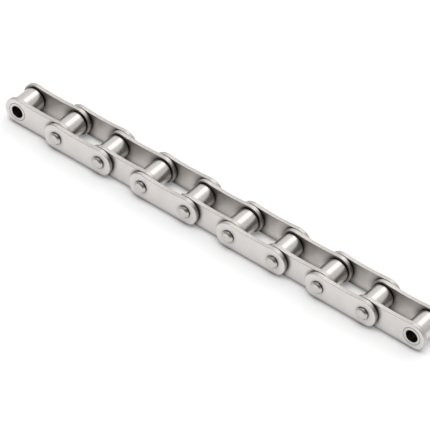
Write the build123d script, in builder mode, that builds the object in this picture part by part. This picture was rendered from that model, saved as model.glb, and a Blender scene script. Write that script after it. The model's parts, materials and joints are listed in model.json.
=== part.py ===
# Stainless steel conveyor chain, nine links long: five inner links, each with its two
# bushes and two rollers, joined by four outer links, each with its two riveted pins.
# X runs along the chain, Y across it and Z up. The chain stands on the round ends of its
# plates, and the origin is on the ground under its middle.

import os

from build123d import *

# Layout along the chain
pitch = 40.0  # between two neighbouring joint axes
inner_links = 5  # the chain begins and ends with an inner link

# Link plates, blanked from one strip and tumbled
inner_width = 18.0  # clear width between the two plates of an inner link
plate_height = 22.5  # across the round ends
waist_depth = 1.05  # dip of each long edge, midway between the two holes
plate_thickness = 3.5
plate_bevel = 0.5  # broken outer edges on both flat sides
side_gap = 0.3  # free play between an inner and an outer plate

# Pins, pressed into the outer plates and free in the bushes
pin_diameter = 10.0
pin_stand_out = 2.4  # beyond the outer plate
pin_bevel = 0.8

# Bushes, pressed into the inner plates and flush with their outer faces
pin_play = 0.05  # radial, between pin and bush
bush_wall = 2.2
bush_bevel = 0.4  # lead-in at both mouths of the bore

# Rollers, free on the bushes
roller_play = 0.1  # radial, between bush and roller
roller_wall = 1.9
roller_bevel = 0.8  # at the outer corners
roller_end_gap = 0.3  # between each end of a roller and the plate beside it

# Sizes that follow from these
joint_count = 2 * inner_links
end_radius = plate_height / 2
axis_height = end_radius
waist_half = end_radius - waist_depth
waist_radius = ((pitch / 2) ** 2 + waist_half**2 - end_radius**2) / (2 * waist_depth)
inner_face = inner_width / 2 + plate_thickness
outer_seat = inner_face + side_gap
outer_face = outer_seat + plate_thickness
bush_bore = pin_diameter + 2 * pin_play
bush_diameter = bush_bore + 2 * bush_wall
bush_length = 2 * inner_face
roller_bore = bush_diameter + 2 * roller_play
roller_diameter = roller_bore + 2 * roller_wall
roller_length = inner_width - 2 * roller_end_gap
pin_length = 2 * (outer_face + pin_stand_out)


def joint_x(number):
    # Distance of a joint axis from the middle of the chain, counted from 1 at the left end
    return (number - (joint_count + 1) / 2) * pitch


def across(x, y):
    # Drawing plane square to the pins, at the height of the joint axes, facing along +Y
    return Plane(origin=(x, y, axis_height), x_dir=(1, 0, 0), z_dir=(0, 1, 0))


def save(piece, name):
    piece.part.label = name
    export_step(piece.part, f"parts/{name}.step")


def link_plate(name, first_joint, low_face, hole_diameter):
    # Slightly waisted plate with a hole on each of its two joint axes: the shallow arc of
    # each long edge runs smoothly into the round ends at the touch points
    base = across(joint_x(first_joint) + pitch / 2, low_face)
    end_share = end_radius / (end_radius + waist_radius)
    touch_x = pitch / 2 * (1 - end_share)
    touch_y = (waist_half + waist_radius) * end_share
    reach = pitch / 2 + end_radius
    with BuildPart() as plate:
        with BuildSketch(base):
            with BuildLine():
                ThreePointArc((touch_x, touch_y), (reach, 0), (touch_x, -touch_y))
                ThreePointArc((touch_x, -touch_y), (0, -waist_half), (-touch_x, -touch_y))
                ThreePointArc((-touch_x, -touch_y), (-reach, 0), (-touch_x, touch_y))
                ThreePointArc((-touch_x, touch_y), (0, waist_half), (touch_x, touch_y))
            make_face()
        extrude(amount=plate_thickness)
        chamfer(plate.faces().filter_by(Axis.Y).edges(), plate_bevel)
        with Locations(base):
            with GridLocations(pitch, 0, 2, 1):
                Hole(hole_diameter / 2)
    save(plate, name)


def plate_pair(kind, link, first_joint, seat, hole_diameter):
    # One plate on each side of the chain, with their facing sides at the seat distance
    link_plate(f"{kind}_plate_front_{link}", first_joint, -seat - plate_thickness, hole_diameter)
    link_plate(f"{kind}_plate_back_{link}", first_joint, seat, hole_diameter)


def bush(number):
    with BuildPart() as sleeve:
        with BuildSketch(across(joint_x(number), -bush_length / 2)):
            Circle(bush_diameter / 2)
            Circle(bush_bore / 2, mode=Mode.SUBTRACT)
        extrude(amount=bush_length)
        mouths = sleeve.edges().filter_by(GeomType.CIRCLE).sort_by(SortBy.RADIUS)[:2]
        chamfer(mouths, bush_bevel)
    save(sleeve, f"bush_{number}")


def roller(number):
    with BuildPart() as ring:
        with BuildSketch(across(joint_x(number), -roller_length / 2)):
            Circle(roller_diameter / 2)
            Circle(roller_bore / 2, mode=Mode.SUBTRACT)
        extrude(amount=roller_length)
        corners = ring.edges().filter_by(GeomType.CIRCLE).sort_by(SortBy.RADIUS)[-2:]
        chamfer(corners, roller_bevel)
    save(ring, f"roller_{number}")


def pin(number, joint):
    with BuildPart() as rod:
        with BuildSketch(across(joint_x(joint), -pin_length / 2)):
            Circle(pin_diameter / 2)
        extrude(amount=pin_length)
        chamfer(rod.faces().filter_by(Axis.Y).edges(), pin_bevel)
    save(rod, f"pin_{number}")


os.makedirs("parts", exist_ok=True)

# Inner links lie on joints 1-2, 3-4 and so on
for link in range(1, inner_links + 1):
    plate_pair("inner", link, 2 * link - 1, inner_width / 2, bush_diameter)

for number in range(1, joint_count + 1):
    bush(number)
    roller(number)

# Outer links lie on joints 2-3, 4-5 and so on, and the two end joints hold no pin
for link in range(1, inner_links):
    plate_pair("outer", link, 2 * link, outer_seat, pin_diameter)

for number in range(1, joint_count - 1):
    pin(number, number + 1)
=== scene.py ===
import json
import math

import bmesh
import bpy
from bmesh.types import BMEdge, BMFace, BMVert
from mathutils import Euler, Matrix, Vector

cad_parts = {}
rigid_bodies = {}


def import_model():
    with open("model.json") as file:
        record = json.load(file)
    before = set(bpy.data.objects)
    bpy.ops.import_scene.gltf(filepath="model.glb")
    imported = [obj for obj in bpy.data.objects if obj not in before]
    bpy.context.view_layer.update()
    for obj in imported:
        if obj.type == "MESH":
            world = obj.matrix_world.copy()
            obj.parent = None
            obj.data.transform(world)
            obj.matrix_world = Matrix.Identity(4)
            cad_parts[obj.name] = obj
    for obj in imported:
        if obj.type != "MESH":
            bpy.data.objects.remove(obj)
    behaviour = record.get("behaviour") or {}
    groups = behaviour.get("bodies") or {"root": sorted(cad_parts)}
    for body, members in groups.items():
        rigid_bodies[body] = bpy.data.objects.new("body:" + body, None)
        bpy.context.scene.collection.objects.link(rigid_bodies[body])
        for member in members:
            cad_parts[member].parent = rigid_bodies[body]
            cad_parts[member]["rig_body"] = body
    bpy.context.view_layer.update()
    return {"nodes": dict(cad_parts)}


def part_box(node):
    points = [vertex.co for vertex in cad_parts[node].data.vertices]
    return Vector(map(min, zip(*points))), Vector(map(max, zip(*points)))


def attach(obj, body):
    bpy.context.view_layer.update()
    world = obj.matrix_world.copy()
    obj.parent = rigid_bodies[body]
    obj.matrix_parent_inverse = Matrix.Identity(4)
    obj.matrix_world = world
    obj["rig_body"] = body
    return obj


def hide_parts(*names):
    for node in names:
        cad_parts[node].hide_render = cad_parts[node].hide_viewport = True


# Stainless steel conveyor chain: every part is made again with the corners and finish of
# the real one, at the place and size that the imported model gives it.

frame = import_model()
mm = 0.001
hair = 0.001 * mm  # measures that differ by less than this are the same
print("loaded", len(frame["nodes"]), "parts of the chain")


# Camera, at the angle of the photograph
photoCamera = {
    "target": (-0.0010, -0.0042, 0.0112),  # m
    "distance": 2.8746,  # m
    "azimuth": 33.97,  # degrees, as the next two
    "elevation": 42.2,
    "roll": 5.23,
    "lens": 332.4,  # mm, for a sensor this wide
    "sensorWidth": 36,
}


def placeCamera(settings):
    data = bpy.data.cameras.new("photoCamera")
    data.lens = settings["lens"]
    data.sensor_width = settings["sensorWidth"]
    camera = bpy.data.objects.new("photoCamera", data)
    tilt = math.radians(90 - settings["elevation"])
    turn = Euler((tilt, 0, math.radians(settings["azimuth"]))).to_matrix()
    turn = turn @ Matrix.Rotation(math.radians(settings["roll"]), 3, "Z")
    camera.rotation_euler = turn.to_euler()
    back = turn @ Vector((0, 0, 1))
    camera.location = Vector(settings["target"]) + back * settings["distance"]
    bpy.context.scene.collection.objects.link(camera)
    bpy.context.scene.camera = camera


placeCamera(photoCamera)
bpy.context.scene.view_settings.view_transform = "Standard"
print("camera in place")


# Materials
colourMix = {"data_type": "RGBA"}
mixShare, mixFirst, mixSecond = 0, 6, 7  # sockets of a Mix node that is set to colours
mixedColour = 2  # and the output where it gives the mixed colour
noiseLow, noiseHigh = 0.3, 0.7  # nearly all of a noise pattern lies between these


def linearColour(hexCode):
    # sRGB hex to the linear values that the shaders take
    parts = [int(hexCode[i : i + 2], 16) / 255 for i in (1, 3, 5)]
    return [p / 12.92 if p <= 0.04045 else ((p + 0.055) / 1.055) ** 2.4 for p in parts] + [1]


def addNode(tree, kind, settings, inputs):
    # an input is a value, or the output of an earlier node to link from
    node = tree.nodes.new(kind)
    for name, value in settings.items():
        setattr(node, name, value)
    for name, value in inputs.items():
        if isinstance(value, bpy.types.NodeSocket):
            tree.links.new(value, node.inputs[name])
        else:
            node.inputs[name].default_value = value
    return node


def newMaterial(name):
    material = bpy.data.materials.new(name)
    material.use_nodes = True
    material.node_tree.nodes.clear()
    return material, material.node_tree


def perMetre(sizeInMm):
    # noise scale that gives spots of this size
    return 1 / (sizeInMm * mm)


# Painted shade: a dark colour that ambient occlusion mixes into the steel, darkening crevices,
# corners and the gaps between parts where shade falls
creviceShade = {
    "colour": "#3A3633",
    "fullShadeAt": 0.42,  # share of open space round a spot at which the painted shade is darkest
    "noShadeAt": 0.95,  # and at which there is no painted shade
    "rays": 8,  # by which a spot finds its neighbours
}


def addCreviceShade(tree, unshadedColour, reach):
    # Painted shade: the colour darkens where a neighbouring face shelters the steel, so every
    # crevice gets a soft dark line, as far out of it as the reach in mm
    shelter = addNode(tree, "ShaderNodeAmbientOcclusion", {"samples": creviceShade["rays"]}, {
        "Distance": reach * mm,
    })
    unshadedShare = addNode(tree, "ShaderNodeMapRange", {}, {
        "Value": shelter.outputs["AO"],
        "From Min": creviceShade["fullShadeAt"],
        "From Max": creviceShade["noShadeAt"],
    })
    mixed = addNode(tree, "ShaderNodeMix", colourMix, {
        mixShare: unshadedShare.outputs[0],
        mixFirst: linearColour(creviceShade["colour"]),
        mixSecond: unshadedColour,
    })
    return mixed.outputs[mixedColour]


def addSteel(tree, look, tones, gloss, relief, depth):
    # Steel whose colour, gloss and relief follow the patterns that its making left, with
    # painted shade darkening its crevices. The depth of the relief is in mm
    shades = addNode(tree, "ShaderNodeMix", colourMix, {
        mixShare: tones,
        mixFirst: linearColour(look["colour"]),
        mixSecond: linearColour(look["dullColour"]),
    })
    # painted shade in the crevices
    creviceShaded = addCreviceShade(tree, shades.outputs[mixedColour], look["creviceShadeReach"])
    low, high = look["roughness"]
    rough = addNode(tree, "ShaderNodeMapRange", {}, {
        "Value": gloss,
        "From Min": noiseLow,
        "From Max": noiseHigh,
        "To Min": low,
        "To Max": high,
    })
    bump = addNode(tree, "ShaderNodeBump", {}, {"Height": relief, "Distance": depth * mm})
    metal = addNode(tree, "ShaderNodeBsdfPrincipled", {}, {
        "Base Color": creviceShaded,
        "Metallic": 1.0,
        "Roughness": rough.outputs[0],
        "Normal": bump.outputs[0],
    })
    addNode(tree, "ShaderNodeOutputMaterial", {}, {"Surface": metal.outputs[0]})


tumbledFace = {
    "name": "tumbledStainlessFace",
    "colour": "#E2DEDB",
    "dullColour": "#DAD6D3",
    "cloudSize": 9.0,  # mm, faint patches left by the tumbling barrel
    "grainSize": 0.5,  # mm, the real grain of 0.1 mm drawn coarse enough to show
    "grainDepth": 0.003,  # mm
    "roughness": (0.34, 0.44),
    "creviceShadeReach": 3.5,  # mm, reach of the painted crevice shade
}

# the sides that face the rollers are the same steel, painted darker for the shade between the
# plates, with painted crevice shade that reaches further
shadedRollerSideFace = dict(
    tumbledFace,
    name="stainlessFaceWithPaintedShade",
    colour="#D3CECA",
    dullColour="#CAC6C1",
    creviceShadeReach=6.0,
)


def tumbledStainlessFace(look):
    # Stainless strip tumbled with ceramic chips: an even satin grey with soft reflections
    # and a fine grain that has no direction
    material, tree = newMaterial(look["name"])
    place = addNode(tree, "ShaderNodeTexCoord", {}, {}).outputs["Object"]
    clouds = addNode(tree, "ShaderNodeTexNoise", {}, {
        "Vector": place, "Scale": perMetre(look["cloudSize"]), "Detail": 4.0,
    }).outputs[0]
    grain = addNode(tree, "ShaderNodeTexNoise", {}, {
        "Vector": place, "Scale": perMetre(look["grainSize"]), "Detail": 3.0,
    }).outputs[0]
    addSteel(tree, look, clouds, clouds, grain, look["grainDepth"])
    return material


blankedEdge = {
    "name": "blankedStainlessEdge",
    "colour": "#D4D0CC",
    "dullColour": "#BAB5AF",
    "streakWidth": 0.7,  # mm, shear marks of the blanking die, drawn coarse enough to show
    "streakStretch": 0.06,  # of their width against their length, which runs across the plate
    "streakDepth": 0.006,  # mm
    "roughness": (0.4, 0.54),
    "creviceShadeReach": 4.5,  # mm, reach of the painted crevice shade
}


def blankedStainlessEdge(look):
    # The rim where the blanking die sheared the strip: short bright and dull streaks that
    # run across the thickness of the plate
    material, tree = newMaterial(look["name"])
    place = addNode(tree, "ShaderNodeTexCoord", {}, {}).outputs["Object"]
    along = addNode(tree, "ShaderNodeMapping", {}, {
        "Vector": place, "Scale": (1, look["streakStretch"], 1),
    }).outputs[0]
    streaks = addNode(tree, "ShaderNodeTexNoise", {}, {
        "Vector": along, "Scale": perMetre(look["streakWidth"]), "Detail": 3.0,
    }).outputs[0]
    addSteel(tree, look, streaks, streaks, streaks, look["streakDepth"])
    return material


rollerSteel = {
    "name": "polishedTurnedRoller",
    "colour": "#D6D3CF",
    "dullColour": "#CAC6C1",
    "cloudSize": 5.0,  # mm, faint patches left by polishing
    "markSize": 0.35,  # mm between the marks of the tool, drawn coarse enough to show
    "markDepth": 0.0004,  # mm
    "roughness": (0.27, 0.31),
    "creviceShadeReach": 2.1,  # mm, reach of the painted crevice shade
}

bushSteel = {
    "name": "groundStainlessBush",
    "colour": "#D6D4D1",
    "dullColour": "#CAC7C3",
    "cloudSize": 5.0,
    "markSize": 0.3,
    "markDepth": 0.0008,
    "roughness": (0.2, 0.3),
    "creviceShadeReach": 2.1,
}

# the wall of the bore is the same bush, painted dark for the shade deep inside the hole
shadedBoreSteel = {
    "name": "oiledBushBore",
    "colour": "#6E6963",
    "dullColour": "#4B4743",
    "cloudSize": 5.0,
    "markSize": 0.3,
    "markDepth": 0.001,
    "roughness": (0.35, 0.5),
    "creviceShadeReach": 2.1,
}

pinSteel = {
    "name": "drawnStainlessPin",
    "colour": "#D4D1CD",
    "dullColour": "#C8C4BF",
    "cloudSize": 5.0,
    "markSize": 0.4,
    "markDepth": 0.0012,
    "roughness": (0.26, 0.38),
    # mm, reach of the painted crevice shade
    "creviceShadeReach": 3.0,
}


def turnedStainless(look):
    # Bar stock turned and then polished or ground: fine marks that run round the axis, so
    # reflections stay crisp across the part and smear a little along it. The marks follow
    # the part's UV map, whose u is the radius and v the place along the axis, both in mm
    material, tree = newMaterial(look["name"])
    turned = addNode(tree, "ShaderNodeUVMap", {"uv_map": "turned"}, {}).outputs[0]
    place = addNode(tree, "ShaderNodeTexCoord", {}, {}).outputs["Object"]
    marks = addNode(tree, "ShaderNodeTexNoise", {"noise_dimensions": "2D"}, {
        "Vector": turned, "Scale": 1 / look["markSize"], "Detail": 4.0,
    }).outputs[0]
    clouds = addNode(tree, "ShaderNodeTexNoise", {}, {
        "Vector": place, "Scale": perMetre(look["cloudSize"]), "Detail": 3.0,
    }).outputs[0]
    addSteel(tree, look, clouds, marks, marks, look["markDepth"])
    return material


plateMaterials = [
    tumbledStainlessFace(tumbledFace),
    blankedStainlessEdge(blankedEdge),
    tumbledStainlessFace(shadedRollerSideFace),
]
openSide, sheared, rollerSide = range(3)  # where each lies in that list
rollerMaterials = [turnedStainless(rollerSteel)]
bushMaterials = [turnedStainless(bushSteel), turnedStainless(shadedBoreSteel)]
outside, boreWall = range(2)
pinMaterials = [turnedStainless(pinSteel)]
print("materials made")


def only(kind, geom):
    # the vertices, edges or faces among all that an operator gave back
    return [g for g in geom if isinstance(g, kind)]


def roundCorners(bm, edges, size, steps):
    bmesh.ops.bevel(
        bm, geom=edges, offset=size, offset_type="OFFSET", segments=steps,
        profile=0.5, affect="EDGES", material=-1,
    )


def finishPart(bm, name, node, materials):
    bmesh.ops.remove_doubles(bm, verts=bm.verts[:], dist=hair)
    bmesh.ops.recalc_face_normals(bm, faces=bm.faces[:])
    mesh = bpy.data.meshes.new(name)
    bm.to_mesh(mesh)
    bm.free()
    for material in materials:
        mesh.materials.append(material)
    for face in mesh.polygons:
        face.use_smooth = True
    part = bpy.data.objects.new(name, mesh)
    bpy.context.scene.collection.objects.link(part)
    flat = part.modifiers.new("flatFaces", "WEIGHTED_NORMAL")
    flat.weight = 100  # the largest face at a corner decides, so flat sides shade flat
    body = frame["nodes"][node]["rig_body"]
    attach(part, body)
    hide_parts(node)


linkPlate = {
    "pitch": 40.0,  # mm between the two holes
    "height": 22.5,  # mm across the round ends
    "waistDepth": 1.05,  # mm, dip of each long edge midway between the holes
    "endSteps": 40,  # facets round each end
    "waistSteps": 12,  # facets along each long edge
    "cornerRadius": 0.4,  # mm, rounded in the tumbling barrel
    "cornerSteps": 4,
    "holeSteps": 64,
    "bushHoleLeadIn": 0.35,  # mm, broken edge that leaves a fine ring round the bush
    "pinHoleLeadIn": 0.1,  # mm
}


def drawPlateOutline(bm, settings, left, right):
    # Two round ends, each run smoothly into the shallow arcs of the long edges
    endRadius = settings["height"] / 2 * mm
    halfPitch = (right - left).length / 2
    waist = endRadius - settings["waistDepth"] * mm
    waistRadius = (halfPitch**2 + waist**2 - endRadius**2) / (2 * (endRadius - waist))
    middle = (left + right) / 2
    above = middle + Vector((0, 0, waist + waistRadius))
    below = middle - Vector((0, 0, waist + waistRadius))
    lean = math.atan2(halfPitch, waist + waistRadius)
    touch = left + (above - left).normalized() * endRadius
    first = tip = bm.verts.new(touch)
    turns = (
        (left, -math.pi - 2 * lean, settings["endSteps"]),
        (below, 2 * lean, settings["waistSteps"]),
        (right, -math.pi - 2 * lean, settings["endSteps"]),
        (above, 2 * lean, settings["waistSteps"]),
    )
    for centre, angle, steps in turns:
        arc = bmesh.ops.spin(
            bm, geom=[tip], cent=centre, axis=(0, 1, 0), angle=angle, steps=steps
        )
        tip = arc["geom_last"][0]
    bmesh.ops.pointmerge(bm, verts=[first, tip], merge_co=touch)


def addHole(bm, axis, radius, leadIn, thickness, steps):
    # Wall of a hole with a broken edge at both mouths: gives back the edges of each mouth
    wide = radius + leadIn
    shrink = radius / wide
    toAxis = Matrix.Translation(axis) @ Matrix.Rotation(math.pi / 2, 4, "X")
    ring = bmesh.ops.create_circle(bm, segments=steps, radius=wide, matrix=toAxis)["verts"]
    firstMouth = mouth = list({e for v in ring for e in v.link_edges})
    for scale, shift in ((shrink, leadIn), (1, thickness - 2 * leadIn), (1 / shrink, leadIn)):
        wall = bmesh.ops.extrude_edge_only(bm, edges=mouth)["geom"]
        ring = only(BMVert, wall)
        mouth = [e for e in only(BMEdge, wall) if set(e.verts) <= set(ring)]
        onAxis = Matrix.Translation(-axis)
        bmesh.ops.scale(bm, vec=(scale, 1, scale), space=onAxis, verts=ring)
        bmesh.ops.translate(bm, vec=(0, shift, 0), verts=ring)
    return firstMouth, mouth


def makePlate(node, settings, holeDiameter, leadIn):
    low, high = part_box(node)
    centre = (low + high) / 2
    thickness = high.y - low.y
    halfPitch = Vector((settings["pitch"] / 2 * mm, 0, 0))
    onFace = Vector((centre.x, low.y, settings["height"] / 2 * mm))
    leftAxis, rightAxis = onFace - halfPitch, onFace + halfPitch

    # Blank with rounded corners
    bm = bmesh.new()
    drawPlateOutline(bm, settings, leftAxis, rightAxis)
    bmesh.ops.contextual_create(bm, geom=bm.edges[:])
    raised = bmesh.ops.extrude_face_region(bm, geom=bm.faces[:])["geom"]
    bmesh.ops.translate(bm, vec=(0, thickness, 0), verts=only(BMVert, raised))
    rims = [e for e in bm.edges if abs(e.verts[0].co.y - e.verts[1].co.y) < hair]
    roundCorners(bm, rims, settings["cornerRadius"] * mm, settings["cornerSteps"])
    for face in bm.faces:
        face.material_index = sheared

    # Its two flat sides are opened, and closed again round the holes
    flats = sorted(bm.faces, key=lambda f: f.calc_area())[-2:]
    flats.sort(key=lambda f: f.calc_center_median().y)
    frontRim, backRim = [list(f.edges) for f in flats]
    bmesh.ops.delete(bm, geom=flats, context="FACES_ONLY")
    for axis in (leftAxis, rightAxis):
        frontMouth, backMouth = addHole(
            bm, axis, holeDiameter / 2, leadIn, thickness, settings["holeSteps"]
        )
        frontRim += frontMouth
        backRim += backMouth
    inFront = centre.y < 0
    sides = (
        (frontRim, openSide if inFront else rollerSide),
        (backRim, rollerSide if inFront else openSide),
    )
    for rim, material in sides:
        flat = bmesh.ops.triangle_fill(bm, use_beauty=True, edges=rim)["geom"]
        for face in only(BMFace, flat):
            face.material_index = material
    finishPart(bm, "tumbled_" + node, node, plateMaterials)


def radiusAt(place, axis):
    # distance from an axis that runs along Y
    away = place - axis
    return math.hypot(away.x, away.z)


def isRound(edge, axis):
    # True for an edge that runs round the axis
    first, second = (v.co for v in edge.verts)
    sameRadius = abs(radiusAt(first, axis) - radiusAt(second, axis)) < hair
    return sameRadius and abs(first.y - second.y) < hair


def markTurned(bm, axis):
    # UV map for the marks of the tool: radius and place along the axis, in mm
    layer = bm.loops.layers.uv.new("turned")
    for face in bm.faces:
        for loop in face.loops:
            place = loop.vert.co
            loop[layer].uv = (radiusAt(place, axis) / mm, (place - axis).y / mm)


turnedRing = {
    "steps": 96,  # facets round the ring
    "cornerSteps": 4,
    "boreSkin": 0.05,  # mm, faces nearer to the bore than this are its wall
}
rollerShape = {"bore": 14.7, "outerCorner": 0.8, "boreCorner": 0.3}  # mm
bushShape = {"bore": 10.1, "outerCorner": 0.3, "boreCorner": 0.4}  # mm


def makeRing(node, shape, name, materials):
    settings = turnedRing
    low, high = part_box(node)
    axis = (low + high) / 2
    outer = (high.x - low.x) / 2
    bore = shape["bore"] / 2 * mm
    bm = bmesh.new()
    outline = ((bore, low.y), (outer, low.y), (outer, high.y), (bore, high.y))
    profile = [bm.verts.new((axis.x, y, axis.z + radius)) for radius, y in outline]
    for i, corner in enumerate(profile):
        bm.edges.new((corner, profile[(i + 1) % len(profile)]))
    bmesh.ops.spin(
        bm, geom=bm.verts[:] + bm.edges[:], cent=axis, axis=(0, 1, 0), angle=math.tau,
        steps=settings["steps"], use_merge=True,
    )
    for radius, size in ((outer, shape["outerCorner"]), (bore, shape["boreCorner"])):
        corners = []
        for edge in bm.edges:
            if isRound(edge, axis) and abs(radiusAt(edge.verts[0].co, axis) - radius) < hair:
                corners.append(edge)
        roundCorners(bm, corners, size * mm, settings["cornerSteps"])
    if len(materials) > 1:
        wall = bore + settings["boreSkin"] * mm
        for face in bm.faces:
            inBore = radiusAt(face.calc_center_median(), axis) < wall
            face.material_index = boreWall if inBore else outside
    markTurned(bm, axis)
    finishPart(bm, name, node, materials)


pinShape = {
    "steps": 72,  # facets round the pin
    "bevel": 1.3,  # mm, flat, pressed on in riveting
    "edgeRadius": 0.2,  # mm, softened edges of that bevel
    "edgeSteps": 3,
    "crown": 0.12,  # mm by which the middle of an end stands proud
    # rings of the crown: width as a share of the radius that is left, and rise as a share
    # of the crown
    "crownRings": ((0.3, 0.55), (0.35, 0.3), (0.5, 0.15)),
}


def makePin(node, settings):
    low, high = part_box(node)
    axis = (low + high) / 2
    radius = (high.x - low.x) / 2
    crown = settings["crown"] * mm
    length = high.y - low.y - 2 * crown
    bm = bmesh.new()
    lying = Matrix.Translation(axis) @ Matrix.Rotation(math.pi / 2, 4, "X")
    bmesh.ops.create_cone(
        bm, cap_ends=True, segments=settings["steps"], radius1=radius, radius2=radius,
        depth=length, matrix=lying,
    )
    for size, steps in (
        (settings["bevel"], 1),
        (settings["edgeRadius"], settings["edgeSteps"]),
    ):
        corners = [e for e in bm.edges if isRound(e, axis)]
        roundCorners(bm, corners, size * mm, steps)
    ends = sorted(bm.faces, key=lambda f: f.calc_area())[-2:]
    for share, rise in settings["crownRings"]:
        for face in ends:
            width = radiusAt(face.verts[0].co, axis) * share
            bmesh.ops.inset_individual(bm, faces=[face], thickness=width, use_even_offset=True)
            outwards = 1 if face.calc_center_median().y > axis.y else -1
            bmesh.ops.translate(bm, vec=(0, outwards * rise * crown, 0), verts=face.verts)
    markTurned(bm, axis)
    finishPart(bm, "riveted_" + node, node, pinMaterials)


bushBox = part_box("bush_1")
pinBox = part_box("pin_1")
bushDiameter = bushBox[1].x - bushBox[0].x
pinDiameter = pinBox[1].x - pinBox[0].x
for node in sorted(frame["nodes"]):
    if node.startswith("inner_plate"):
        makePlate(node, linkPlate, bushDiameter, linkPlate["bushHoleLeadIn"] * mm)
    elif node.startswith("outer_plate"):
        makePlate(node, linkPlate, pinDiameter, linkPlate["pinHoleLeadIn"] * mm)
    elif node.startswith("roller"):
        makeRing(node, rollerShape, "turned_" + node, rollerMaterials)
    elif node.startswith("bush"):
        makeRing(node, bushShape, "ground_" + node, bushMaterials)
    elif node.startswith("pin"):
        makePin(node, pinShape)
print("parts made")


# Studio: pale floor, soft lights above and behind, and a dimmer room on the camera's side
studio = {
    "floorSize": 30.0,  # m
    "floorColour": "#F4F4F4",
    "paintedContactShadow": "#4C4946",  # painted shadow on the floor right under an edge
    "contactReach": 3.0,  # mm
    "contactRays": 8,
    "floorGlow": 0.25,  # strength of the glow that only the camera and reflections see
    "skyColour": "#FFFFFF",
    "skyBehind": (1.0, 0.8),  # strength at the left and at the right
    "spreadBehind": (-0.7, 0.7),  # x of the directions where those two are reached
    "skyInFront": (0.42, 0.1),
    "spreadInFront": (-0.5, 0.4),
    "frontToBehind": (-0.1, 0.4),  # y of the directions between which one becomes the other
    "skyAtHorizon": 0.3,  # share that is left of the sky just above the floor
    "horizonHeight": 0.25,  # z of the direction above which nothing is lost
}
backLight = {
    "direction": (-0.02, 0.614, 0.789),  # as seen from the chain
    "distance": 6.0,  # m, as the next two
    "width": 3.4,
    "height": 3.0,
    "radiance": 1.0,
}
topLight = {
    "direction": (0.0, -0.08, 1.0),
    "distance": 6.0,
    "width": 4.7,
    "height": 4.3,
    "radiance": 2.8,
}


def makeFloor(settings):
    # Matt white background paper: it takes the chain's soft shadow, and a glow that only
    # the camera, mirrors and glass see keeps it white there. Its colour also darkens within a
    # few mm of the chain, a painted contact shadow
    bm = bmesh.new()
    bmesh.ops.create_grid(bm, x_segments=1, y_segments=1, size=settings["floorSize"] / 2)
    mesh = bpy.data.meshes.new("floor")
    bm.to_mesh(mesh)
    bm.free()
    material, tree = newMaterial("palePaperFloor")
    white = linearColour(settings["floorColour"])
    # painted contact shadow: the paper's colour darkens where the chain stands within the reach
    shelter = addNode(tree, "ShaderNodeAmbientOcclusion", {"samples": settings["contactRays"]}, {
        "Distance": settings["contactReach"] * mm,
    })
    shaded = addNode(tree, "ShaderNodeMix", colourMix, {
        mixShare: shelter.outputs["AO"],
        mixFirst: linearColour(settings["paintedContactShadow"]),
        mixSecond: white,
    })
    paper = addNode(tree, "ShaderNodeBsdfDiffuse", {}, {"Color": shaded.outputs[mixedColour]})
    ray = addNode(tree, "ShaderNodeLightPath", {}, {})
    seen = ray.outputs["Is Camera Ray"]
    for mirrored in ("Is Glossy Ray", "Is Transmission Ray"):
        either = {0: seen, 1: ray.outputs[mirrored]}
        seen = addNode(tree, "ShaderNodeMath", {"operation": "MAXIMUM"}, either).outputs[0]
    share = addNode(tree, "ShaderNodeMath", {"operation": "MULTIPLY"}, {
        0: seen, 1: settings["floorGlow"],
    })
    glow = addNode(tree, "ShaderNodeEmission", {}, {"Color": white, "Strength": share.outputs[0]})
    both = addNode(tree, "ShaderNodeAddShader", {}, {0: paper.outputs[0], 1: glow.outputs[0]})
    addNode(tree, "ShaderNodeOutputMaterial", {}, {"Surface": both.outputs[0]})
    mesh.materials.append(material)
    floor = bpy.data.objects.new("floor", mesh)
    bpy.context.scene.collection.objects.link(floor)


def makeSky(settings):
    # White room: brightest behind the chain, dim in front of it and at the right, and
    # falling off towards the floor
    world = bpy.data.worlds.new("studioSky")
    world.use_nodes = True
    world.node_tree.nodes.clear()
    tree = world.node_tree
    towards = addNode(tree, "ShaderNodeTexCoord", {}, {}).outputs["Generated"]
    x, y, z = addNode(tree, "ShaderNodeSeparateXYZ", {}, {"Vector": towards}).outputs
    halves = []
    for spread, sky in (("spreadInFront", "skyInFront"), ("spreadBehind", "skyBehind")):
        halves.append(addNode(tree, "ShaderNodeMapRange", {}, {
            "Value": x,
            "From Min": settings[spread][0],
            "From Max": settings[spread][1],
            "To Min": settings[sky][0],
            "To Max": settings[sky][1],
        }).outputs[0])
    depth = addNode(tree, "ShaderNodeMapRange", {}, {
        "Value": y,
        "From Min": settings["frontToBehind"][0],
        "From Max": settings["frontToBehind"][1],
        "To Min": halves[0],
        "To Max": halves[1],
    })
    height = addNode(tree, "ShaderNodeMapRange", {}, {
        "Value": z,
        "From Min": 0.0,
        "From Max": settings["horizonHeight"],
        "To Min": settings["skyAtHorizon"],
        "To Max": 1.0,
    })
    strength = addNode(tree, "ShaderNodeMath", {"operation": "MULTIPLY"}, {
        0: depth.outputs[0], 1: height.outputs[0],
    })
    background = addNode(tree, "ShaderNodeBackground", {}, {
        "Color": linearColour(settings["skyColour"]), "Strength": strength.outputs[0],
    })
    addNode(tree, "ShaderNodeOutputWorld", {}, {"Surface": background.outputs[0]})
    bpy.context.scene.world = world


def makeSoftLight(name, settings):
    data = bpy.data.lights.new(name, "AREA")
    data.shape = "RECTANGLE"
    data.size = settings["width"]
    data.size_y = settings["height"]
    # watts that give a lamp of this area its radiance
    data.energy = settings["radiance"] * math.pi * settings["width"] * settings["height"]
    lamp = bpy.data.objects.new(name, data)
    towards = Vector(settings["direction"]).normalized()
    lamp.location = towards * settings["distance"]
    lamp.rotation_euler = towards.to_track_quat("Z", "Y").to_euler()
    bpy.context.scene.collection.objects.link(lamp)


makeFloor(studio)
makeSky(studio)
makeSoftLight("softLightBehind", backLight)
makeSoftLight("softLightAbove", topLight)
print("floor and lights in place")
